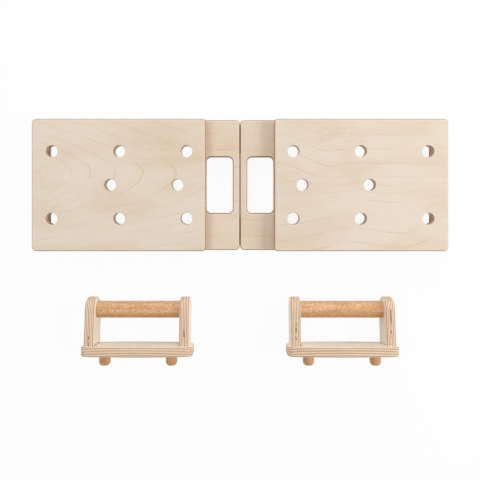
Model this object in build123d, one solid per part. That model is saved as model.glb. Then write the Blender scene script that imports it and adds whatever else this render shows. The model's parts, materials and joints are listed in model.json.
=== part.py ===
from build123d import *
from math import asin, atan2, cos, degrees, hypot, sin
import os

# Folding push-up board with two plug-in handles, laid out flat on the floor.
# Two equal board halves lie end to end on rubber feet, joined by two butt hinges under
# their carrying plates, and fold bottom to bottom. The handles lie on their backs in front
# of the board, pegs towards the front.
# Millimetres, +X along the board, +Y to its rear edge, +Z up.
# Origin: centre of the whole set's footprint, on the floor.

# ---- stock and edges
ply = 18.0                    # thickness of every plywood piece
edge_round = 3.0              # roundover on every plywood edge
glue_gap = 0.05               # each side of a glued peg or bar in its socket

# ---- board half
board_width = 236.0
deck_length = 310.0           # upper plate, the one with the peg holes
deck_outer_corner = 7.5
deck_inner_corner = 5.5
carry_rim = 13.0              # wood between the joint line and the carrying slot
slot_length = 102.0           # along Y
slot_width = 48.0             # along X, its outer side in line with the deck's inner end
slot_corner = 8.5
deck_lap = 21.0               # how far the carrying plate reaches under the deck
carry_corner = 8.5
joint_gap = 0.4               # between the two carrying plates
batten_width = 22.5           # strip under the deck's outer end
batten_corner = 7.5

# ---- peg holes
hole_r = 10.5
hole_round = 1.0
first_hole = 36.0             # deck's outer end to the first column
last_hole = 34.0              # last column to the deck's inner end
columns = 3

# ---- rubber feet
foot_r = 8.0
foot_taper = 1.0
foot_height = 6.0
foot_from_side = 16.0         # foot's centre to the board's side
foot_stagger = 26.0           # extra at the other side, so that folded halves' feet pass
inner_foot_from_deck = 11.0   # inner foot's centre to the deck's inner end
foot_recess = 2.2             # screw head above the foot's sole

# ---- hinges
hinge_length = 50.0
hinge_from_side = 34.0        # hinge's middle to the board's side
leaf_width = 26.0             # pin's axis to the leaf's edge
leaf_thickness = 1.5
leaf_corner = 3.0
barrel_r = 2.75
pin_r = 1.3
pin_clearance = 0.05
knuckles = 5
knuckle_gap = 0.4
barrel_clearance = 0.5        # leaf edge to the other leaf's knuckles

# ---- screws: countersunk, 90 degree head
screw_clearance = 0.05
plate_screw_r = 2.0
plate_screw_head_r = 4.0
deck_screw_length = 30.0
post_screw_length = 45.0
small_screw_r = 1.75
foot_screw_length = 16.0
hinge_screw_length = 14.0
hinge_screw_pitch = 30.0
hinge_screw_from_edge = 9.0
lap_screw_from_side = 19.0    # a row's outermost screw to the board's side
batten_screw_from_side = 67.0
screws_in_row = 4
screw_tip = 2.0               # point's length, in shank radii

# ---- handle, described standing on its pegs
base_length = 198.0
base_middle_width = 60.0
base_end_width = 46.0
base_corner = 12.0
post_width = 45.0
post_span = 150.0             # clear length between the posts
bar_height = 62.0             # bar's centre over the base
bar_r = 15.0
bar_socket = 10.0
peg_r = 10.0
peg_tenon_r = 8.0             # the peg's glued end, which leaves it a shoulder
peg_socket = 12.0
peg_chamfer_length = 4.5
peg_chamfer_depth = 3.0
post_screw_spread = 22.0

# ---- where the handles lie
handle_x = 183.0
handle_to_board = 85.0        # clear floor between the board and the posts' tops

same_size = 0.01              # radii nearer than this are the same

# ---- derived
wood_z = foot_height
deck_z = wood_z + ply
carry_start = joint_gap / 2
deck_start = carry_start + carry_rim + slot_width
deck_end = deck_start + deck_length
batten_x = deck_end - batten_width / 2
lap_screw_x = deck_start + deck_lap / 2
hinge_y = board_width / 2 - hinge_from_side
foot_wide_y = board_width / 2 - foot_from_side
foot_narrow_y = foot_wide_y - foot_stagger
hole_pitch = (deck_length - first_hole - last_hole) / (columns - 1)
row_pitch = hole_pitch * 3**0.5 / 2
axis_z = wood_z - barrel_r
small_screw_head_r = small_screw_r + leaf_thickness
peg_length = ply
post_top_r = post_width / 2
post_x = (post_span + ply) / 2

os.makedirs("parts", exist_ok=True)


def rounded_plate(length, width, radii, x, z):
    """Plywood rectangle from x on, corner radii given as (inner end, outer end)."""
    inner, outer = radii
    plate = Pos(x + length / 2, 0, z + ply / 2) * Box(length, width, ply)
    uprights = plate.edges().filter_by(Axis.Z).group_by(Axis.X)
    plate = fillet(uprights[0], inner)
    plate = fillet(plate.edges().filter_by(Axis.Z).group_by(Axis.X)[-1], outer)
    faces = plate.faces().filter_by(Axis.Z)
    return fillet([edge for face in faces for edge in face.edges()], edge_round)


def standing_cylinder(radius, length):
    return Cylinder(radius, length, align=(Align.CENTER, Align.CENTER, Align.MIN))


def screw(length, shank_r, head_r, grow=0.0):
    """Countersunk screw, head face at z = 0, pointing up; grow gives the hole it needs."""
    head = head_r - shank_r
    tip = screw_tip * shank_r
    outline = Polyline(
        (0, 0),
        (head_r + grow, 0),
        (shank_r + grow, head),
        (shank_r + grow, length - tip),
        (0, length),
        close=True,
    )
    return revolve(Plane.XZ * make_face(outline), Axis.Z)


def row(x, from_side):
    """Evenly spaced places in a line across the board."""
    reach = board_width / 2 - from_side
    return [(x, reach * (2 * i / (screws_in_row - 1) - 1)) for i in range(screws_in_row)]


lap_screws = row(lap_screw_x, lap_screw_from_side)
batten_screws = row(batten_x, batten_screw_from_side)
inner_foot_x = deck_start - inner_foot_from_deck
foot_places = [(x, y) for x in (inner_foot_x, batten_x) for y in (foot_wide_y, -foot_narrow_y)]
hinge_screws = [
    (leaf_width - hinge_screw_from_edge, side * hinge_y + end * hinge_screw_pitch / 2)
    for side in (-1, 1)
    for end in (-1, 1)
]


def peg_holes():
    """Rows of holes at every pitch, in a pattern of equal-sided triangles."""
    outer = [(deck_end - first_hole - i * hole_pitch, side) for i in range(columns) for side in (-1, 1)]
    places = [(x, side * hole_pitch / 2) for x, side in outer]
    middle = deck_end - first_hole - row_pitch
    return places + [(middle - i * hole_pitch, 0) for i in range(columns - 1)]


def drilled(piece, places, z, length, shank_r, head_r):
    """A piece less the room that screws pointing up from z take in it."""
    hole = screw(length, shank_r, head_r, screw_clearance)
    return piece - [Pos(x, y, z) * hole for x, y in places]


# ---- one board half, from the joint line towards +X


def deck():
    plate = rounded_plate(
        deck_length, board_width, (deck_inner_corner, deck_outer_corner), deck_start, deck_z
    )
    plate -= [Pos(x, y, deck_z) * standing_cylinder(hole_r, ply) for x, y in peg_holes()]
    rims = plate.edges().filter_by(GeomType.CIRCLE).filter_by(lambda e: abs(e.radius - hole_r) < same_size)
    plate = fillet(rims, hole_round)
    return drilled(
        plate, lap_screws + batten_screws, wood_z, deck_screw_length, plate_screw_r, plate_screw_head_r
    )


def carry_plate():
    length = deck_start + deck_lap - carry_start
    plate = rounded_plate(length, board_width, (carry_corner, carry_corner), carry_start, wood_z)
    slot = Pos(deck_start - slot_width / 2, 0, wood_z + ply / 2) * Box(slot_width, slot_length, ply)
    slot = fillet(slot.edges().filter_by(Axis.Z), slot_corner)
    plate -= slot
    mouth = plate.faces().filter_by(Axis.Z)
    plate = fillet([edge for face in mouth for edge in face.inner_wires()[0].edges()], edge_round)
    plate = drilled(plate, lap_screws, wood_z, deck_screw_length, plate_screw_r, plate_screw_head_r)
    plate = drilled(
        plate, hinge_screws, wood_z - leaf_thickness, hinge_screw_length, small_screw_r, small_screw_head_r
    )
    return drilled_for_feet(plate, foot_places[:2])


def batten():
    strip = rounded_plate(
        batten_width, board_width, (edge_round, batten_corner), deck_end - batten_width, wood_z
    )
    strip = drilled(
        strip, batten_screws, wood_z, deck_screw_length, plate_screw_r, plate_screw_head_r
    )
    return drilled_for_feet(strip, foot_places[2:])


def drilled_for_feet(piece, places):
    return drilled(piece, places, foot_recess, foot_screw_length, small_screw_r, small_screw_head_r)


def rubber_feet():
    """Four turned feet, each with a recessed seat for its screw."""
    foot = Cone(
        foot_r - foot_taper, foot_r, foot_height, align=(Align.CENTER, Align.CENTER, Align.MIN)
    )
    foot -= standing_cylinder(small_screw_head_r + screw_clearance, foot_recess)
    foot -= Pos(0, 0, foot_recess) * screw(
        foot_screw_length, small_screw_r, small_screw_head_r, screw_clearance
    )
    return [Pos(x, y, 0) * foot for x, y in foot_places]


def hinge_leaf(own):
    """Leaf towards +X with the knuckles whose numbers are in own, about an axis along Y."""
    top = barrel_r
    inner = barrel_r + barrel_clearance
    leaf = Pos((inner + leaf_width) / 2, 0, top - leaf_thickness / 2) * Box(
        leaf_width - inner, hinge_length, leaf_thickness
    )
    leaf = fillet(leaf.edges().filter_by(Axis.Z).group_by(Axis.X)[-1], leaf_corner)
    share = hinge_length / knuckles
    length = share - knuckle_gap
    for i in own:
        y = (i + 0.5) * share - hinge_length / 2
        leaf += Pos(inner / 2, y, top - leaf_thickness / 2) * Box(inner, length, leaf_thickness)
        leaf += Pos(0, y, 0) * Rot(90, 0, 0) * Cylinder(barrel_r, length)
    leaf -= Rot(90, 0, 0) * Cylinder(pin_r + pin_clearance, hinge_length)
    return leaf


def leaves(own, side):
    """The leaf of one half at one of its two hinges, drilled for its screws."""
    leaf = Pos(0, side * hinge_y, axis_z) * hinge_leaf(own)
    return drilled(
        leaf,
        hinge_screws,
        wood_z - leaf_thickness,
        hinge_screw_length,
        small_screw_r,
        small_screw_head_r,
    )


def screws(places, z, length, shank_r, head_r):
    return [Pos(x, y, z) * screw(length, shank_r, head_r) for x, y in places]


def half(own):
    """Every piece of a board half, named without its side."""
    return {
        "deck": deck(),
        "carry_plate": carry_plate(),
        "end_batten": batten(),
        "rubber_feet": rubber_feet(),
        "lap_screws": screws(
            lap_screws, wood_z, deck_screw_length, plate_screw_r, plate_screw_head_r
        ),
        "batten_screws": screws(
            batten_screws, wood_z, deck_screw_length, plate_screw_r, plate_screw_head_r
        ),
        "foot_screws": screws(
            foot_places, foot_recess, foot_screw_length, small_screw_r, small_screw_head_r
        ),
        "hinge_screws": screws(
            hinge_screws, wood_z - leaf_thickness, hinge_screw_length, small_screw_r, small_screw_head_r
        ),
        "rear_hinge_leaf": leaves(own, 1),
        "front_hinge_leaf": leaves(own, -1),
    }


# ---- one handle, standing on its pegs: X along the bar, Z up, base's underside at z = 0

post_screws = [(x, y) for x in (-post_x, post_x) for y in (-post_screw_spread / 2, post_screw_spread / 2)]
peg_places = (-hole_pitch / 2, hole_pitch / 2)


def handle_base():
    """Base with bowed long sides, drilled for pegs and screws."""
    x, end, middle = base_length / 2, base_end_width / 2, base_middle_width / 2
    outline = Line((x, -end), (x, end))
    outline += ThreePointArc((x, end), (0, middle), (-x, end))
    outline += Line((-x, end), (-x, -end))
    outline += ThreePointArc((-x, -end), (0, -middle), (x, -end))
    face = make_face(outline)
    face = fillet(face.vertices(), base_corner)
    base = extrude(face, ply)
    base = fillet([edge for side in base.faces().filter_by(Axis.Z) for edge in side.edges()], edge_round)
    base -= [Pos(px, 0, 0) * standing_cylinder(peg_tenon_r, peg_socket) for px in peg_places]
    return drilled(base, post_screws, 0, post_screw_length, plate_screw_r, plate_screw_head_r)


def handle_post(side):
    """Upright with a full-round top about the bar, socketed for the bar's end."""
    profile = Rectangle(post_width, bar_height, align=(Align.CENTER, Align.MIN))
    profile += Pos(0, bar_height) * Circle(post_top_r)
    post = extrude(Plane.YZ * profile, ply / 2, both=True)
    flat_sides = post.faces().filter_by(Axis.X)
    long_edges = [edge for face in flat_sides for edge in face.edges() if edge.center().Z > edge_round]
    post = fillet(long_edges, edge_round)
    socket = Cylinder(bar_r, bar_socket, rotation=(0, 90, 0))
    post -= Pos(-side * (ply - bar_socket) / 2, 0, bar_height) * socket
    post = Pos(side * post_x, 0, ply) * post
    return drilled(post, post_screws, 0, post_screw_length, plate_screw_r, plate_screw_head_r)


def handle_bar():
    bar = Cylinder(bar_r - glue_gap, post_span + 2 * bar_socket, rotation=(0, 90, 0))
    return Pos(0, 0, ply + bar_height) * bar


def handle_peg(x):
    """Turned peg: thinner in its glued socket, chamfered at its free end."""
    outline = Polyline(
        (0, peg_socket),
        (peg_tenon_r - glue_gap, peg_socket),
        (peg_tenon_r - glue_gap, 0),
        (peg_r, 0),
        (peg_r, peg_chamfer_length - peg_length),
        (peg_r - peg_chamfer_depth, -peg_length),
        (0, -peg_length),
        close=True,
    )
    return Pos(x, 0, 0) * revolve(Plane.XZ * make_face(outline), Axis.Z)


def handle():
    return {
        "base": handle_base(),
        "left_post": handle_post(-1),
        "right_post": handle_post(1),
        "bar": handle_bar(),
        "left_peg": handle_peg(peg_places[0]),
        "right_peg": handle_peg(peg_places[1]),
        "post_screws": screws(post_screws, 0, post_screw_length, plate_screw_r, plate_screw_head_r),
    }


# ---- the handle's rest on its back: the bowed base and the round post tops touch the floor

edge_depth = base_middle_width / 2 - edge_round              # centre of the base's rounded edge
rise = bar_height + edge_round                               # from it up to the bar
reach = hypot(rise, edge_depth)
lean = atan2(edge_depth, rise) - asin((post_top_r - edge_round) / reach)
lying_z = post_top_r + (ply + bar_height) * sin(lean)

top_reach = (ply + bar_height) * cos(lean) + post_top_r      # handle's origin to its posts' tops
peg_reach = peg_length * cos(lean) + (peg_r - peg_chamfer_depth) * sin(lean)
chamfer_reach = (peg_length - peg_chamfer_length) * cos(lean) + peg_r * sin(lean)
front_reach = max(peg_reach, chamfer_reach)                  # handle's origin to its pegs' tips

set_depth = board_width + handle_to_board + top_reach + front_reach
board_y = set_depth / 2 - board_width / 2
handle_y = front_reach - set_depth / 2

right_place = Pos(0, board_y, 0)
left_place = Pos(0, board_y, 0) * Rot(0, 0, 180)


def handle_place(x):
    return Pos(x, handle_y, lying_z) * Rot(-90 - degrees(lean), 0, 0)


def write(name, pieces):
    """One file per node; identical fasteners and feet share one."""
    node = Compound(children=pieces) if isinstance(pieces, list) else pieces
    export_step(node, f"parts/{name}.step")


left_knuckles = range(0, knuckles, 2)
right_knuckles = range(1, knuckles, 2)

for side, own, place in (("left", left_knuckles, left_place), ("right", right_knuckles, right_place)):
    for name, pieces in half(own).items():
        placed = [place * piece for piece in pieces] if isinstance(pieces, list) else place * pieces
        write(f"{side}_{name}", placed)

for side, x in (("left", -handle_x), ("right", handle_x)):
    for name, pieces in handle().items():
        place = handle_place(x)
        placed = [place * piece for piece in pieces] if isinstance(pieces, list) else place * pieces
        write(f"{side}_handle_{name}", placed)

for side, y in (("rear", hinge_y), ("front", -hinge_y)):
    pin = Pos(0, board_y + y, axis_z) * Cylinder(pin_r, hinge_length, rotation=(90, 0, 0))
    write(f"{side}_hinge_pin", pin)
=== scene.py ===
"""A folding plywood push-up board and its two plug-in handles, in birch plywood and beech."""

import json
import math

import bpy
import numpy as np
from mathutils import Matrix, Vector

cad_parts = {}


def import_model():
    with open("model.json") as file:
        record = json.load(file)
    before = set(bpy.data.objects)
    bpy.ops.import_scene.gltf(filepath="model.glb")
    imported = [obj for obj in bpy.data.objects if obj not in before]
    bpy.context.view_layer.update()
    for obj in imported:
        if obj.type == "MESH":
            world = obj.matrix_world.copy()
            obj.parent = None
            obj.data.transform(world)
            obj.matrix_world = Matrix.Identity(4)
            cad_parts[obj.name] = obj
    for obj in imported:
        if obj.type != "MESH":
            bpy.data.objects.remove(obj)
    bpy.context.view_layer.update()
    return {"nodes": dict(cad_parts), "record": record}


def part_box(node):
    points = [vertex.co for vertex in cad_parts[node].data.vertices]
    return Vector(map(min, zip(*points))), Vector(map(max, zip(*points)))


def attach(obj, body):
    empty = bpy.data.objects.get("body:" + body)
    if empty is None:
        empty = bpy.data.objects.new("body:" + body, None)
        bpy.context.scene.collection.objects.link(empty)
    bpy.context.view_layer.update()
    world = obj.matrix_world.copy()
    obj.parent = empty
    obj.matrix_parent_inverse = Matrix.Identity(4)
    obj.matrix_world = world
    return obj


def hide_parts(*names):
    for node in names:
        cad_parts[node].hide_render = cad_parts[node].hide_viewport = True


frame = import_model()

MM = 0.001
PLY = 18 * MM                  # thickness of every plywood piece
PLIES = 13
SHARP = math.radians(42)       # a crease between faces that meet at more than this
SCREWS_IN_ROW = 4
PLATE_SCREW = (2 * MM, 4 * MM)          # shank and head radius
SMALL_SCREW = (1.75 * MM, 3.25 * MM)
POST_SCREW_SPREAD = 22 * MM
BASE_WIDTH = 59.4 * MM                  # these two only scale the figure of the grain
POST_FACE = (100 * MM, 50 * MM)
SCREW_GAP = 0.05 * MM
SAME_PLACE = 0.01 * MM
POST_SCREW = 45 * MM
FOOT_RADIUS = 8 * MM
FOOT_TAPER = 1 * MM
FOOT_RECESS = 2.2 * MM
PEG_TENON = 7.95 * MM
PEG_SOCKET = 12 * MM
PEG_CHAMFER = (4.5 * MM, 3 * MM)        # along the peg and across it
SEEN_WHITE = 0.93              # how much of the white behind the floor shows through it
WARM_AIR = (1.0, 0.968, 0.925, 1.0)
DAYLIGHT = (0.985, 0.998, 1.0)


def shade(red, green, blue):
    """A colour given as 0 to 255 screen values, as the shaders want it."""
    def one(value):
        value /= 255
        return value / 12.92 if value <= 0.04045 else ((value + 0.055) / 1.055) ** 2.4

    return one(red), one(green), one(blue), 1.0


def between(first, second, share):
    """The colour this share of the way from the first screen colour to the second."""
    return shade(*(a + (b - a) * share for a, b in zip(first, second)))


# ---------------------------------------------------------------- shader arithmetic


class Wire:
    """A number, vector or colour on its way through a finish's nodes."""

    def __init__(self, finish, socket):
        self.finish, self.socket = finish, socket

    def math(self, operation, *values):
        return self.finish.node("ShaderNodeMath", {"operation": operation}, values)

    def __add__(self, other):
        return self.math("ADD", self, other)

    def __radd__(self, other):
        return self.math("ADD", other, self)

    def __sub__(self, other):
        return self.math("SUBTRACT", self, other)

    def __rsub__(self, other):
        return self.math("SUBTRACT", other, self)

    def __mul__(self, other):
        return self.math("MULTIPLY", self, other)

    def __rmul__(self, other):
        return self.math("MULTIPLY", other, self)

    def __truediv__(self, other):
        return self.math("DIVIDE", self, other)

    def __rtruediv__(self, other):
        return self.math("DIVIDE", other, self)

    def __abs__(self):
        return self.math("ABSOLUTE", self)

    def fract(self):
        return self.math("FRACT", self)

    def floor(self):
        return self.math("FLOOR", self)

    def root(self):
        return self.math("SQRT", self)

    def most(self, other):
        return self.math("MAXIMUM", self, other)

    def fade(self, low, high, start=0.0, end=1.0):
        """Smoothly from start at low to end at high."""
        return self.finish.node(
            "ShaderNodeMapRange",
            {"interpolation_type": "SMOOTHSTEP"},
            (self, low, high, start, end),
        )

    def mix(self, first, second):
        """From the first colour to the second by this mask."""
        return self.finish.node(
            "ShaderNodeMix",
            {"data_type": "RGBA"},
            {"Factor_Float": self, "A_Color": first, "B_Color": second},
            "Result_Color",
        )


class Finish:
    """The nodes of a material or a world under construction."""

    def __init__(self, made, end="ShaderNodeOutputMaterial"):
        made.use_nodes = True
        self.made, self.end, self.tree = made, end, made.node_tree
        self.tree.nodes.clear()

    def node(self, kind, settings=None, values=(), gives=0):
        """One node: its settings first, then the values or wires of its sockets."""
        made = self.tree.nodes.new(kind)
        for key, value in (settings or {}).items():
            setattr(made, key, value)
        if not isinstance(values, dict):
            values = dict(enumerate(values))
        for key, value in values.items():
            socket = self.find(made.inputs, key)
            if isinstance(value, Wire):
                self.tree.links.new(value.socket, socket)
            else:
                socket.default_value = value
        return Wire(self, self.find(made.outputs, gives))

    @staticmethod
    def find(sockets, key):
        """A socket by its place, identifier or name."""
        if isinstance(key, int):
            return sockets[key]
        return next(s for s in sockets if key in (s.identifier, s.name))

    def where(self, origin=(0, 0, 0), turn=0.0, of="Object"):
        """Coordinates or normal seen from origin, in a frame turned about X."""
        read = self.node("ShaderNodeTexCoord", None, (), of)
        kind = "TEXTURE" if of == "Object" else "VECTOR"
        turns = (turn, 0, 0) if of == "Object" else (-turn, 0, 0)
        values = {"Vector": read, "Rotation": turns}
        if of == "Object":
            values["Location"] = origin
        return self.node("ShaderNodeMapping", {"vector_type": kind}, values)

    def parts(self, vector):
        split = self.node("ShaderNodeSeparateXYZ", None, (vector,))
        outputs = split.socket.node.outputs
        return [Wire(self, output) for output in outputs]

    def vector(self, x, y, z):
        return self.node("ShaderNodeCombineXYZ", None, (x, y, z))

    def noise(self, vector, size, detail=2.0, rough=0.5, stretch=(1, 1, 1)):
        """Smooth noise from 0 to 1 in grains of this size, stretched along each axis."""
        scaled = self.node(
            "ShaderNodeVectorMath",
            {"operation": "MULTIPLY"},
            (vector, tuple(1 / (size * s) for s in stretch)),
        )
        return self.node(
            "ShaderNodeTexNoise",
            {"noise_dimensions": "3D"},
            {"Vector": scaled, "Scale": 1.0, "Detail": detail, "Roughness": rough},
        )

    def bump(self, height, distance, strength=1.0):
        values = {"Strength": strength, "Distance": distance, "Height": height}
        return self.node("ShaderNodeBump", None, values)

    def close(self, **sockets):
        """The surface shader, its sockets named with _ for a space."""
        values = {key.replace("_", " "): value for key, value in sockets.items()}
        return self.output(self.node("ShaderNodeBsdfPrincipled", None, values))

    def output(self, shader):
        end = self.tree.nodes.new(self.end)
        self.tree.links.new(shader.socket, end.inputs["Surface"])
        return self.made


def surface_finish(name):
    return Finish(bpy.data.materials.new(name))


# ---------------------------------------------------------------- birch plywood

# pale and warm tones of each piece's face veneer, and how brown its rounded edges are: partly the
# cross ply showing, partly painted shade along the edges and the joint
deck_veneer = (shade(233, 219, 204), shade(225, 205, 181), 0.85)
# painted shade: a darker copy of the birch veneer for the carry plates, which sit below the decks'
# edges
carry_shaded_veneer = (shade(229, 211, 190), shade(220, 198, 171), 0.95)
# painted light: a paler copy of the birch veneer for the handles, standing in for brighter light on
# them
handle_lit_veneer = (shade(250, 242, 229), shade(245, 231, 211), 0.15)
veneer_line = shade(212, 178, 132)
veneer_grey = shade(226, 211, 200)
veneer_cloud = shade(216, 187, 150)
# painted highlight: a pale line along the start of every rounded edge
rim_highlight_colour = shade(250, 240, 226)
# partly the dark cross ply at a rounded edge, partly painted shade outlining the edges and the
# joint between the halves
brown_rim_and_shade = shade(146, 96, 62)
ply_long = shade(253, 241, 222)
ply_long_deep = shade(243, 221, 191)
ply_cross = shade(198, 143, 90)
ply_cross_deep = shade(164, 106, 58)
glue_line = shade(140, 88, 50)
core_void = shade(104, 58, 28)


def arches(u, v):
    """Contours of nested arches: level n has its tip at u = 0.15 + 0.07 n + 0.014 n n."""
    off = v - 0.40
    above = (off * -1).most(0)
    below = off.most(0)
    tip = u + above * above / (above * 0.36 + 0.10) + below * below / 0.21
    return ((tip - 0.15).most(-0.08) * 0.056 + 0.0049).root() / 0.028 - 2.5


def waves(u, v):
    """Lines along the board that dip early in the upper part and rise in the lower."""
    dip = u.fade(0.02, 0.34) * 0.14 + u.fade(0.30, 0.46) * -0.025
    rise = u.fade(0.0, 0.48) * -0.09 + u.fade(0.48, 0.7) * 0.035 + u.fade(0.72, 1.05) * -0.13
    lower = v.fade(0.38, 0.66)
    bend = dip * (1 - lower) + rise * lower
    across, down = (u - 0.78) / 0.085, (v - 0.75) / 0.055
    knot = (across * across + down * down).fade(0.0, 2.2, 1.15, 0.0)
    return (v - bend) / 0.115 + knot


def straight(u, v):
    """Even lines along the grain, slightly aslant."""
    return v / 0.13 + u * 0.25


def cloud_at(u, v, centre, size):
    """Mask of one soft cloud."""
    across, down = (u - centre[0]) / size[0], (v - centre[1]) / size[1]
    return (across * across + down * down).fade(0.0, 1.0, 1.0, 0.0)


def birch(
    name, veneer, origin, area, figure, seed, turn=0.0, upright=False, clouds=(), chips=None
):
    """Plywood: a veneer's figure on the faces, alternating plies at the edges.

    area is the piece's size along and across its face grain. Upright pieces have their
    grain along the turned frame's Z and their plies along X, others X and Z. chips are where
    the piece stands and the side of it, 1 or -1 along X, that is torn there.
    """
    finish = surface_finish(name)
    x, y, z = finish.parts(finish.where(origin, turn))
    nx, _, nz = finish.parts(finish.where(turn=turn, of="Normal"))
    along, through, end_on = (z, x, nz) if upright else (x, z, nx)
    across = y
    grain = finish.vector(along + seed, across + seed * 0.7, through + seed * 0.3)

    u, v = along / area[0] + 0.5, 0.5 - across / area[1]
    warp = finish.noise(grain, 0.09, 2.0, 0.5, (1.5, 1, 1)) - 0.5
    ripple = finish.noise(grain, 0.02, 3.0, 0.6, (2.6, 1, 1)) - 0.5
    level = figure(u, v) + warp * 0.5 + ripple * 0.16
    ring = level.fract()
    present = finish.noise(grain, 0.05, 1.0, 0.5, (1.6, 1, 1)).fade(0.34, 0.62)
    whole = finish.noise(grain, 0.008, 2.0, 0.6, (2.4, 1, 1)).fade(0.3, 0.6)
    line = ring.fade(0.89, 0.96) * ring.fade(0.965, 1.0, 1.0, 0.0) * (present * 0.7 + 0.3)
    haze = ring.fade(0.35, 0.95) * ring.fade(0.96, 1.0, 1.0, 0.0) * present
    streak = finish.noise(grain, 0.0012, 3.0, 0.6, (16, 1, 1))
    fleck = finish.noise(grain, 0.0011, 1.0, 0.5, (4, 1, 1)).fade(0.68, 0.8)
    cloud = finish.noise(grain, 0.06, 4.0, 0.55, (2.2, 1, 1))
    mottle = finish.noise(grain, 0.006, 3.0, 0.6, (1.8, 1, 1)).fade(0.3, 0.7)
    pale, warm, rim_browning_and_shade = veneer
    face = cloud.fade(0.32, 0.70).mix(pale, warm)
    face = (mottle * 0.35).mix(face, veneer_grey)
    for centre, size in clouds:
        patchy = finish.noise(grain, 0.010, 4.0, 0.65, (3, 1, 1)).fade(0.35, 0.7)
        face = (cloud_at(u, v, centre, size) * patchy * 0.38).mix(face, veneer_cloud)
    face = (haze * 0.07).mix(face, veneer_line)
    face = (line * (whole * 0.6 + 0.4) * 0.55).mix(face, veneer_line)
    face = (streak.fade(0.45, 0.8) * 0.16 + fleck * 0.12).mix(face, veneer_line)

    wobble = (finish.noise(grain, 0.03, 1.0, 0.5, (3, 3, 1)) - 0.5) * 0.16
    ply = (through / PLY + 0.5) * PLIES + wobble
    cross = (ply.floor() * 0.5).fract() * 2
    tone = finish.node(
        "ShaderNodeTexWhiteNoise", {"noise_dimensions": "1D"}, {"W": ply.floor() + seed}, "Value"
    )
    end = abs(end_on).fade(0.6, 0.8)
    dark = cross * (1 - end) + (1 - cross) * end
    joint = abs(ply.fract() - 0.5).fade(0.36, 0.5)
    fibre = finish.noise(grain, 0.0009, 2.0, 0.6, (9, 9, 1))
    pale_ply = (fibre.fade(0.35, 0.75) * 0.6 + tone * 0.2).mix(ply_long, ply_long_deep)
    dark_ply = (fibre.fade(0.3, 0.7) * 0.3 + tone * 0.7).mix(ply_cross, ply_cross_deep)
    edge = dark.mix(pale_ply, dark_ply)
    edge = (joint * 0.32).mix(edge, glue_line)
    if chips:
        core = abs(ply - PLIES / 2).fade(0.25, 0.6, 1.0, 0.0)
        hollow = core * finish.noise(grain, 0.004, 1.0, 0.5, (3.6, 1, 1)).fade(0.55, 0.63)
        edge = (hollow * 0.85).mix(edge, core_void)
    depth = (PLY / 2 - abs(through)) / MM
    skin = depth.fade(0.4, 0.55, 1.0, 0.0)
    colour = skin.mix(edge, face)
    # painted highlight: a thin pale line where the face turns into the rounded edge
    painted_rim_highlight = depth.fade(0.0, 0.08) * depth.fade(0.2, 0.45, 1.0, 0.0)
    # partly the cross ply showing, partly painted shade: the rounded edges and the joint darkened
    rim_ply_and_shade = depth.fade(0.3, 0.5) * depth.fade(1.4, 2.8, 1.0, 0.0)
    colour = (painted_rim_highlight * 0.6).mix(colour, rim_highlight_colour)
    colour = (rim_ply_and_shade * rim_browning_and_shade).mix(colour, brown_rim_and_shade)
    if chips:
        stands_at, inner = chips
        size = finish.noise(grain, 0.005, 1.0, 0.6)
        height_over = (z - stands_at) / MM
        on_side = (x * inner).fade(PLY * 0.4, PLY * 0.45)
        torn = ((size - 0.44) * 17 - height_over).fade(0.0, 0.6) * on_side
        colour = torn.mix(colour, core_void)

    height = streak * skin * 0.5 + fibre * 0.5 * (1 - skin) - joint * (1 - skin) * 0.6
    if chips:
        height = height - hollow * (1 - skin) * 6 - torn * 5
    return finish.close(
        Base_Color=colour,
        Roughness=0.6 + streak * 0.12 - skin * 0.06,
        Normal=finish.bump(height, 0.06 * MM, 0.7),
    )


# ---------------------------------------------------------------- beech, rubber, steel


def beech(name, origin, turn, seed, upright=False, deep=0.0):
    """Beech: rays and pores as short wavy flecks along the grain; a bar's lower side gets painted
    shade, darker and redder.
    """
    finish = surface_finish(name)
    x, y, z = finish.parts(finish.where(origin, turn))
    along, a, b = (z, x, y) if upright else (x, y, z)
    grain = finish.vector(along + seed, a + seed * 0.6, b + seed * 0.2)
    sway = finish.noise(grain, 0.010, 2.0, 0.5, (1.4, 1, 1)) - 0.5
    swayed = finish.vector(along + seed, a + sway * 0.0042, b + sway * 0.0042)
    fleck = finish.noise(swayed, 0.0010, 2.0, 0.6, (4.5, 1, 1))
    ray = finish.noise(swayed, 0.0013, 1.0, 0.5, (3, 1, 1))
    band = finish.noise(grain, 0.006, 3.0, 0.6, (8, 1, 1))
    pale = between((234, 193, 149), (208, 156, 110), deep)
    tan = between((212, 161, 112), (192, 130, 80), deep)
    brown = between((156, 96, 48), (136, 86, 50), deep)
    colour = band.fade(0.3, 0.7).mix(pale, tan)
    colour = (fleck.fade(0.46, 0.64) * 0.66).mix(colour, brown)
    colour = (ray.fade(0.56, 0.68) * 0.4).mix(colour, pale)
    # painted shade: a bar's lower side darkened and reddened towards the bottom
    if not upright:
        colour = ((z * -1).fade(1 * MM, 15 * MM) * 0.5).mix(colour, shade(196, 122, 60))
    return finish.close(
        Base_Color=colour,
        Roughness=0.4 + fleck * 0.16,
        Normal=finish.bump(fleck * -1, 0.05 * MM, 0.6),
    )


def rubber(name):
    """Black moulded rubber with a dusty bloom."""
    finish = surface_finish(name)
    place = finish.where()
    speck = finish.noise(place, 0.0011, 3.0, 0.6)
    bloom = finish.noise(place, 0.006, 3.0, 0.6).fade(0.4, 0.75)
    colour = (bloom * 0.5 + speck * 0.2).mix(shade(30, 30, 31), shade(66, 64, 62))
    return finish.close(
        Base_Color=colour,
        Roughness=0.66 + speck * 0.2,
        Normal=finish.bump(speck, 0.05 * MM, 0.6),
    )


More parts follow.
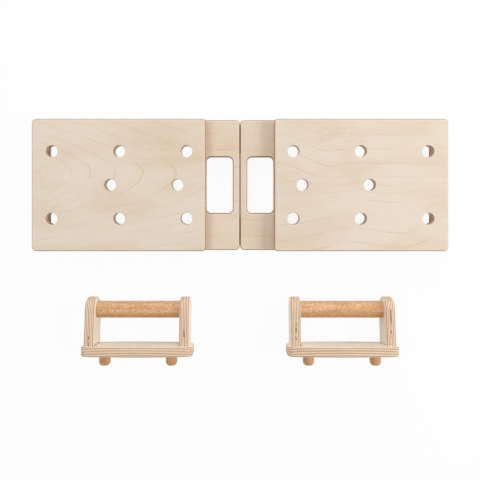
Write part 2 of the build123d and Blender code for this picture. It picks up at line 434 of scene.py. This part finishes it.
def zinc(name, pale, cloudy):
    """Zinc plating: faint clouds and fine drawing marks."""
    finish = surface_finish(name)
    place = finish.where()
    cloud = finish.noise(place, 0.004, 4.0, 0.6)
    drawn = finish.noise(place, 0.0004, 2.0, 0.6, (1, 12, 1))
    return finish.close(
        Base_Color=cloud.fade(0.3, 0.7).mix(pale, cloudy),
        Metallic=1.0,
        Roughness=0.26 + drawn * 0.16 + cloud * 0.08,
        Normal=finish.bump(drawn, 0.02 * MM, 0.4),
    )


# ---------------------------------------------------------------- where things are


def low(node):
    return Vector(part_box(node)[0])


def high(node):
    return Vector(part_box(node)[1])


def middle(node):
    return (low(node) + high(node)) / 2


def extent(node):
    return high(node) - low(node)


mounts = {mount["name"]: mount for mount in frame["record"]["mounts"]}


class Stance:
    """A handle's own frame: X along its bar, Z from its pegs up to the bar."""

    def __init__(self, side):
        pegs = [mounts[f"{side}_handle_{end}_peg"] for end in ("left", "right")]
        tip = Vector(pegs[0]["axis"])
        shoulders = [
            Vector(peg["pos_m"]) - tip * peg["dims"]["length_mm"] * MM / 2 for peg in pegs
        ]
        self.pegs = shoulders
        self.foot = (shoulders[0] + shoulders[1]) / 2      # on the base's underside
        self.up = -tip
        self.back = Vector((0, self.up.z, -self.up.y))
        self.turn = math.atan2(self.back.z, self.back.y)   # of the frame about X

    def at(self, x, back, up):
        """A place given by its world X and its distances in this frame."""
        return Vector((x, self.foot.y, self.foot.z)) + self.back * back + self.up * up


stances = {side: Stance(side) for side in ("left", "right")}

# ---------------------------------------------------------------- turned surfaces


def turned(profile, around=48, cross=None):
    """Surface of revolution: for every point (r, z) of the profile and every angle a, the
    point (r cos a, r sin a, z). A radius of 0 at an end is a pole; where no end is one,
    the profile is a loop. With cross = (reach, width, depth) a cross-shaped recess lowers
    the end at the first point: depth times how far a point lies inside the cross's arms.
    """
    r, z = np.array(profile, dtype=float).T
    angle = np.arange(around) * 2 * np.pi / around
    x = r[:, None] * np.cos(angle)
    y = r[:, None] * np.sin(angle)
    z = np.repeat(z[:, None], around, axis=1)
    if cross:
        reach, width, depth = cross
        long, short = np.maximum(abs(x), abs(y)), np.minimum(abs(x), abs(y))
        slope = np.clip((reach - long) / (reach * 0.35), 0, 1)
        wall = np.clip((width * (0.45 + 0.55 * slope) - short) / (width * 0.5), 0, 1)
        z = z + depth * slope * wall * (z < z[0, 0] + SAME_PLACE)
    return np.stack([x, y, z], axis=2), r


def rings_to_faces(rows, around, loop):
    """Quads between neighbouring rings of a grid."""
    first = np.arange(rows if loop else rows - 1)
    second = (first + 1) % rows
    column = np.arange(around)
    beside = (column + 1) % around
    a = first[:, None] * around + column
    b = first[:, None] * around + beside
    c = second[:, None] * around + beside
    d = second[:, None] * around + column
    return np.stack([a, b, c, d], axis=2).reshape(-1, 4)


def solid(surface):
    """Points, quads and end triangles of a turned surface, each pole closed by one point.

    The profile's area in the r, z plane, half the sum of r dz - z dr, is positive where it runs
    anticlockwise and its faces point outwards. Where it is negative they are turned round.
    """
    grid, r = surface
    rows, around = grid.shape[:2]
    start, stop = int(r[0] == 0), rows - int(r[-1] == 0)
    body = grid[start:stop]
    quads = rings_to_faces(len(body), around, len(body) == rows)
    points, fans = [body.reshape(-1, 3)], [np.empty((0, 3), dtype=int)]
    column = np.arange(around)
    beside = (column + 1) % around
    last = (len(body) - 1) * around
    pole = np.full(around, len(body) * around)
    if start:
        points.append(grid[0, :1])
        fans.append(np.stack([pole, beside, column], axis=1))
        pole = pole + 1
    if stop < rows:
        points.append(grid[-1, :1])
        fans.append(np.stack([last + column, last + beside, pole], axis=1))
    fans = np.concatenate(fans)
    z = grid[:, 0, 2]
    if np.sum(r * np.roll(z, -1) - np.roll(r, -1) * z) < 0:
        quads, fans = quads[:, ::-1], fans[:, ::-1]
    return np.concatenate(points), quads, fans


def turn_to(axis):
    """Rows of the frame whose Z is the axis."""
    z = np.array(axis, dtype=float)
    x = np.array((1.0, 0.0, 0.0))
    return np.stack([x, np.cross(z, x), z])


def piece(name, body, material, node, surface, places, axis=(0, 0, 1)):
    """One object of alike turned surfaces standing at the places, in place of a node."""
    points, quads, fans = solid(surface)
    first = np.arange(len(places))[:, None, None] * len(points)
    all_points = points @ turn_to(axis) + np.array(places, dtype=float)[:, None]
    all_quads, all_fans = (quads + first).reshape(-1, 4), (fans + first).reshape(-1, 3)
    mesh = bpy.data.meshes.new(name)
    mesh.from_pydata(all_points.reshape(-1, 3).tolist(), [], all_quads.tolist() + all_fans.tolist())
    mesh.polygons.foreach_set("use_smooth", np.ones(len(mesh.polygons), dtype=bool))
    mesh.set_sharp_from_angle(angle=SHARP)
    mesh.materials.append(material)
    made = bpy.data.objects.new(name, mesh)
    bpy.context.scene.collection.objects.link(made)
    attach(made, body)
    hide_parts(node)
    return made


def arc(centre, radius, start, stop, steps=5):
    """Points on a quarter or so of a circle, angles in degrees."""
    angles = np.radians(np.linspace(start, stop, steps))
    return [(centre[0] + radius * math.cos(a), centre[1] + radius * math.sin(a)) for a in angles]


def screw(shank, head, length):
    """Countersunk screw: flat head with a cross recess, 90 degree cone, shank and point."""
    rim = 0.12 * MM
    disc = [(head * t, 0.0) for t in np.linspace(0, 0.94, 15)]
    profile = disc + [(head - rim, 0.0), (head, rim), (shank + rim, head - shank)]
    profile += [(shank, head - shank + rim), (shank, length - 2 * shank), (0.0, length)]
    return turned(profile, 48, (head * 0.66, head * 0.24, head * 0.42))


def foot(sole, top, height, screw_size):
    """Rubber foot: softened sole, a bead above it, a recess and the screw's seat."""
    shank, head = (value + SCREW_GAP for value in screw_size)
    soft = 0.7 * MM
    profile = arc((sole - soft, soft), soft, -90, -8)
    profile += [(sole + (top - sole) * t, height * t) for t in (0.35, 0.42)]
    profile += arc((top - soft, height - soft * 0.5), soft * 0.5, 0, 90, 4)
    profile += [(shank, height), (shank, FOOT_RECESS + head - shank), (head, FOOT_RECESS)]
    profile += arc((head + soft * 0.5, soft * 0.5), soft * 0.5, 180, 270, 4)
    return turned(profile, 48)


def peg(radius, chamfer, depth, length):
    """Peg: glued tenon, shoulder, straight side, chamfer with softened corners."""
    soft = 0.5 * MM
    tip, edge = radius - depth, chamfer - length
    profile = [(0.0, PEG_SOCKET), (PEG_TENON, PEG_SOCKET), (PEG_TENON, 0.0), (radius, 0.0)]
    profile += [
        (radius, edge + soft),
        (radius - soft * 0.14, edge),
        (radius - soft * 0.5, edge - soft * 0.9),
        (tip + soft * 0.45, soft * 0.8 - length),
        (tip + soft * 0.05, soft * 0.2 - length),
        (tip - soft * 0.5, -length),
        (tip * 0.5, -length),
        (0.0, -length),
    ]
    return turned(profile, 64)


# ---------------------------------------------------------------- finishes put on


def dress(node, material):
    """A CAD node's one material."""
    mesh = frame["nodes"][node].data
    mesh.materials.clear()
    mesh.materials.append(material)


hinge_zinc = zinc("hinge zinc", shade(200, 202, 205), shade(160, 162, 166))
screw_zinc = zinc("screw zinc", shade(190, 192, 194), shade(150, 152, 155))
foot_rubber = rubber("foot rubber")

deck_figures = {
    "left": (arches, [((0.72, 0.26), (0.22, 0.17)), ((0.95, 0.34), (0.10, 0.14))]),
    "right": (waves, [((0.05, 0.42), (0.16, 0.12)), ((0.36, 0.14), (0.24, 0.10))]),
}

for n, side in enumerate(("left", "right")):
    figure, clouds = deck_figures[side]
    deck = f"{side}_deck"
    size = extent(deck)
    seed = 1.3 + n * 3.1
    dress(deck, birch(deck, deck_veneer, middle(deck), size.xy, figure, seed, clouds=clouds))
    for k, name in enumerate((f"{side}_carry_plate", f"{side}_end_batten")):
        seed = 5.2 + n * 2.7 + k
        dress(name, birch(name, carry_shaded_veneer, middle(name), size.xy, straight, seed))
    for hinge in ("rear", "front"):
        dress(f"{side}_{hinge}_hinge_leaf", hinge_zinc)

    stance = stances[side]
    part = f"{side}_handle_"
    base, bar = part + "base", part + "bar"
    length = extent(base).x
    flat = (length, BASE_WIDTH)
    centre = stance.at(middle(base).x, 0, PLY / 2)
    dress(base, birch(base, handle_lit_veneer, centre, flat, straight, 11.4 + n * 2.3, stance.turn))
    for inner, end in ((1, "left"), (-1, "right")):
        post = f"{part}{end}_post"
        centre = stance.at(middle(post).x, 0, (middle(bar) - stance.foot).dot(stance.up) / 2)
        chips = (PLY - (centre - stance.foot).dot(stance.up), inner)
        wood = birch(
            post, handle_lit_veneer, centre, POST_FACE, straight, 17.1 + n + inner,
            stance.turn, True, (), chips,
        )
        dress(post, wood)
    dress(bar, beech(bar, middle(bar), stance.turn, 2.0 + n * 3.0))
for hinge in ("rear", "front"):
    dress(f"{hinge}_hinge_pin", hinge_zinc)

# ---------------------------------------------------------------- turned pieces put in


def row_of_screws(node, head):
    """Even places between the ends of a row of screws."""
    bottom, top = low(node), high(node)
    ys = np.linspace(bottom.y + head, top.y - head, SCREWS_IN_ROW)
    return [(middle(node).x, y, bottom.z) for y in ys]


def hinge_screw_places(side):
    """Two beside each hinge, as far from its middle as the outermost one is."""
    node = f"{side}_hinge_screws"
    bottom, top, head = low(node), high(node), SMALL_SCREW[1]
    leaves = [middle(f"{side}_{hinge}_hinge_leaf").y for hinge in ("rear", "front")]
    reach = top.y - head - max(leaves)
    return [(middle(node).x, y + end * reach, bottom.z) for y in leaves for end in (-1, 1)]


def corner_places(node, radius):
    """One in each corner of a node of four."""
    bottom, top = low(node), high(node)
    return [
        (x, y, bottom.z)
        for x in (bottom.x + radius, top.x - radius)
        for y in (bottom.y + radius, top.y - radius)
    ]


for side in ("left", "right"):
    half = f"{side}_half"
    for kind in ("lap", "batten"):
        node = f"{side}_{kind}_screws"
        shape = screw(*PLATE_SCREW, extent(node).z)
        places = row_of_screws(node, PLATE_SCREW[1])
        piece(f"{side}_{kind}_cross_screws", half, screw_zinc, node, shape, places)
    node = f"{side}_hinge_screws"
    shape = screw(*SMALL_SCREW, extent(node).z)
    places = hinge_screw_places(side)
    piece(f"{side}_hinge_cross_screws", half, screw_zinc, node, shape, places)
    node = f"{side}_foot_screws"
    shape = screw(*SMALL_SCREW, extent(node).z)
    places = corner_places(node, SMALL_SCREW[1])
    piece(f"{side}_foot_cross_screws", half, screw_zinc, node, shape, places)
    node = f"{side}_rubber_feet"
    shape = foot(FOOT_RADIUS - FOOT_TAPER, FOOT_RADIUS, extent(node).z, SMALL_SCREW)
    places = corner_places(node, FOOT_RADIUS)
    piece(f"{side}_moulded_feet", half, foot_rubber, node, shape, places)

    stance = stances[side]
    handle = f"{side}_handle"
    node = f"{handle}_post_screws"
    post_xs = [middle(f"{handle}_{end}_post").x for end in ("left", "right")]
    places = [
        stance.at(x, back * POST_SCREW_SPREAD / 2, 0) for x in post_xs for back in (-1, 1)
    ]
    shape = screw(*PLATE_SCREW, POST_SCREW)
    name = f"{handle}_cross_screws"
    piece(name, handle, screw_zinc, node, shape, places, stance.up)
    for k, end in enumerate(("left", "right")):
        node = f"{handle}_{end}_peg"
        radius = mounts[node]["dims"]["r_mm"] * MM
        seed = 7.0 + k + 3 * (side == "left")
        material = beech(node, stance.pegs[k], stance.turn, seed, True, 0.6)
        shape = peg(radius, *PEG_CHAMFER, PLY)
        piece(f"{node}_turned", handle, material, node, shape, [stance.pegs[k]], stance.up)

# ---------------------------------------------------------------- floor, lamps and camera


def seen_directly(finish):
    """Masks of the rays that show the background itself, and of those that look for a lamp."""
    outputs = finish.node("ShaderNodeLightPath").socket.node.outputs
    camera_ray, glossy, through, shadow = (
        Wire(finish, finish.find(outputs, f"Is {kind} Ray"))
        for kind in ("Camera", "Glossy", "Transmission", "Shadow")
    )
    return camera_ray.most(glossy).most(through), shadow


def floor():
    """White floor: seen directly it is mostly the white behind it, with the shadow left on."""
    half = 6.0
    mesh = bpy.data.meshes.new("floor")
    corners = [(-half, -half, 0), (half, -half, 0), (half, half, 0), (-half, half, 0)]
    mesh.from_pydata(corners, [], [(0, 1, 2, 3)])
    finish = surface_finish("floor")
    direct, shadow = seen_directly(finish)
    grain = finish.noise(finish.where(), 0.3, 3.0, 0.5)
    white = grain.mix(shade(244, 244, 244), shade(248, 248, 248))
    paper = finish.node("ShaderNodeBsdfDiffuse", None, {"Color": white})
    clear = finish.node("ShaderNodeBsdfTransparent")
    below = finish.node("ShaderNodeNewGeometry", gives="Backfacing")
    clearness = (direct * SEEN_WHITE + shadow * SEEN_WHITE).most(below * direct)
    mixed = finish.node("ShaderNodeMixShader", None, (clearness, paper, clear))
    mesh.materials.append(finish.output(mixed))
    sheet = bpy.data.objects.new("floor", mesh)
    bpy.context.scene.collection.objects.link(sheet)


def world():
    """Even light, and plain white where it is looked at."""
    finish = Finish(bpy.data.worlds.new("studio"), "ShaderNodeOutputWorld")
    direct, _ = seen_directly(finish)
    soft = finish.node("ShaderNodeBackground", None, {"Color": WARM_AIR, "Strength": 0.36})
    white = finish.node("ShaderNodeBackground", None, {"Color": (1, 1, 1, 1), "Strength": 1.0})
    bpy.context.scene.world = finish.output(
        finish.node("ShaderNodeMixShader", None, (direct, soft, white))
    )


def lamp(name, place, target, size, power):
    data = bpy.data.lights.new(name, "AREA")
    data.shape, data.size, data.energy = "SQUARE", size, power
    data.color = DAYLIGHT
    made = bpy.data.objects.new(name, data)
    bpy.context.scene.collection.objects.link(made)
    made.location = place
    made.rotation_euler = (Vector(target) - Vector(place)).to_track_quat("-Z", "Y").to_euler()


def camera():
    picture_width = 0.8540           # metres across the picture, at the deck's top
    height = 0.90                    # of the lens over the deck
    in_front = 0.0125                # of the board's middle
    data = bpy.data.cameras.new("camera")
    data.sensor_width = 36
    data.lens = data.sensor_width * height / picture_width
    data.shift_y = -0.1              # the board stands above the picture's middle
    made = bpy.data.objects.new("camera", data)
    bpy.context.scene.collection.objects.link(made)
    made.location = (0, middle("left_deck").y - in_front, high("left_deck").z + height)
    bpy.context.scene.camera = made


floor()
world()
camera()
lamp("right window", (1.75, 0.0, 1.12), (0.1, 0, 0), 0.75, 20)
lamp("left window", (-1.35, 0.0, 1.80), (-0.1, 0, 0), 0.9, 12)
lamp("rear window", (0, 2.0, 0.85), (0, -0.1, 0), 1.3, 22)
bpy.context.scene.view_settings.view_transform = "Standard"
